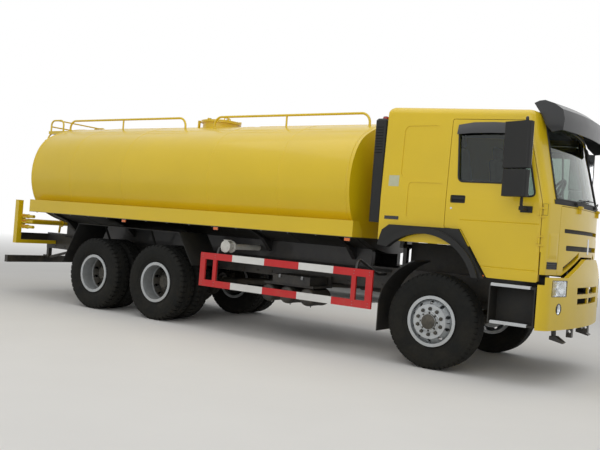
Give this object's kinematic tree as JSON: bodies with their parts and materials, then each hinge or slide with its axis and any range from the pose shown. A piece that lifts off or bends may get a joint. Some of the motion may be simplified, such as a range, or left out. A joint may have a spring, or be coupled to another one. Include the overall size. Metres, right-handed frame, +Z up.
{
  "type": "three-axle tanker truck",
  "caption": "Cab-over water tanker truck with an oval tank, trays along its flanks, tilting cab, opening doors, flap and manhole, steered front wheels and driven twin rear wheels.",
  "frame": {"origin": "on the ground at the middle of the overall length and width", "axes": "+X forward, +Y to the truck's left, +Z up"},
  "size_m": [9.45, 2.9334, 3.1678],
  "materials": {
    "body_yellow": "gloss enamel",
    "frame_black": "satin chassis paint",
    "axle_iron": "painted casting",
    "tyre_rubber": "road rubber",
    "rim_silver": "silver paint",
    "plastic_black": "textured",
    "guard_red_white": "gloss, red and white lengths",
    "cab_glass": "tinted safety glass",
    "visor_smoke": "smoked",
    "lamp_clear": "clear lens over a bright reflector",
    "lamp_red": "red lens",
    "trim_grey": "interior moulding",
    "seat_cloth": "woven cloth",
    "valve_white": "light paint",
    "alloy": "brushed",
    "mesh_black": "mesh"
  },
  "bodies": {
    "chassis": {"frame_rails": "frame_black", "tank": "body_yellow", "tank_cradle": "body_yellow", "side_trays": "body_yellow", "top_rails": "body_yellow", "rear_ladder": "body_yellow", "rear_platform": "body_yellow", "rear_pipework": "body_yellow", "front_axle": "axle_iron", "rear_axles": "axle_iron", "front_springs": "axle_iron", "rear_springs": "axle_iron", "engine_block": "axle_iron", "radiator": "frame_black", "driveline": "axle_iron", "front_bumper": "body_yellow", "headlamps": "lamp_clear", "steps": "plastic_black", "front_mudguards": "plastic_black", "rear_mudguards": "plastic_black", "side_guards": "guard_red_white", "guard_arms": "frame_black", "underrun_bar": "frame_black", "tail_lamps": "lamp_red", "air_reservoirs": "frame_black", "fuel_tank": "alloy", "silencer": "frame_black", "pump_valve": "valve_white"},
    "cab": {"cab_shell": "body_yellow", "windscreen": "cab_glass", "sun_visor": "visor_smoke", "cab_arches": "plastic_black", "intake_tower": "plastic_black", "dashboard": "trim_grey", "seats": "seat_cloth", "tilt_arms": "frame_black"},
    "front_flap": {"front_flap": "body_yellow", "flap_mesh": "mesh_black"},
    "manhole_lid": {"manhole_lid": "body_yellow"},
    "tie_rod": {"tie_rod": "axle_iron"},
    "door_left": {"door_left": "body_yellow", "door_glass_left": "cab_glass", "mirrors_left": "plastic_black"},
    "knuckle_left": {"knuckle_left": "axle_iron"},
    "front_wheel_left": {"front_tyre_left": "tyre_rubber", "front_rim_left": "rim_silver"},
    "middle_wheels_left": {"middle_tyres_left": "tyre_rubber", "middle_rims_left": "rim_silver"},
    "rear_wheels_left": {"rear_tyres_left": "tyre_rubber", "rear_rims_left": "rim_silver"},
    "door_right": {"door_right": "body_yellow", "door_glass_right": "cab_glass", "mirrors_right": "plastic_black"},
    "knuckle_right": {"knuckle_right": "axle_iron"},
    "front_wheel_right": {"front_tyre_right": "tyre_rubber", "front_rim_right": "rim_silver"},
    "middle_wheels_right": {"middle_tyres_right": "tyre_rubber", "middle_rims_right": "rim_silver"},
    "rear_wheels_right": {"rear_tyres_right": "tyre_rubber", "rear_rims_right": "rim_silver"}
  },
  "joints": [
    {"name": "cab_tilt", "type": "hinge", "parent": "chassis", "child": "cab", "pos_m": [4.615, 0, 1], "axis": [0, 1, 0], "range_deg": [0, 50]},
    {"name": "front_flap_lift", "type": "hinge", "parent": "cab", "child": "front_flap", "pos_m": [4.675, 0, 1.962], "axis": [0, -1, 0], "range_deg": [0, 60]},
    {"name": "manhole_lid_open", "type": "hinge", "parent": "chassis", "child": "manhole_lid", "pos_m": [-1.412, 0, 3.094], "axis": [0, -1, 0], "range_deg": [0, 100]},
    {"name": "tie_rod_swing", "type": "hinge", "parent": "knuckle_left", "child": "tie_rod", "pos_m": [3.045, 0.83, 0.437], "axis": [0, 0, 1], "range_deg": [-36, 36]},
    {"name": "door_left_open", "type": "hinge", "parent": "cab", "child": "door_left", "pos_m": [4.433, 1.165, 1.57], "axis": [0, 0, -1], "range_deg": [0, 70]},
    {"name": "steer_left", "type": "hinge", "parent": "chassis", "child": "knuckle_left", "pos_m": [3.275, 0.83, 0.55], "axis": [0, 0, 1], "range_deg": [-36, 36]},
    {"name": "front_wheel_left_spin", "type": "hinge", "parent": "knuckle_left", "child": "front_wheel_left", "pos_m": [3.275, 1.011, 0.55], "axis": [0, 1, 0], "continuous": true},
    {"name": "middle_wheels_left_spin", "type": "hinge", "parent": "chassis", "child": "middle_wheels_left", "pos_m": [-1.05, 0.9145, 0.55], "axis": [0, 1, 0], "continuous": true},
    {"name": "rear_wheels_left_spin", "type": "hinge", "parent": "chassis", "child": "rear_wheels_left", "pos_m": [-2.4, 0.9145, 0.55], "axis": [0, 1, 0], "continuous": true},
    {"name": "door_right_open", "type": "hinge", "parent": "cab", "child": "door_right", "pos_m": [4.433, -1.165, 1.57], "axis": [0, 0, 1], "range_deg": [0, 70]},
    {"name": "steer_right", "type": "hinge", "parent": "chassis", "child": "knuckle_right", "pos_m": [3.275, -0.83, 0.55], "axis": [0, 0, 1], "range_deg": [-36, 36]},
    {"name": "front_wheel_right_spin", "type": "hinge", "parent": "knuckle_right", "child": "front_wheel_right", "pos_m": [3.275, -1.011, 0.55], "axis": [0, 1, 0], "continuous": true},
    {"name": "middle_wheels_right_spin", "type": "hinge", "parent": "chassis", "child": "middle_wheels_right", "pos_m": [-1.05, -0.9145, 0.55], "axis": [0, 1, 0], "continuous": true},
    {"name": "rear_wheels_right_spin", "type": "hinge", "parent": "chassis", "child": "rear_wheels_right", "pos_m": [-2.4, -0.9145, 0.55], "axis": [0, 1, 0], "continuous": true}
  ],
  "couplings": [
    {"joint": "steer_right", "follows": "steer_left", "ratio": 1},
    {"joint": "tie_rod_swing", "follows": "steer_left", "ratio": -1}
  ]
}
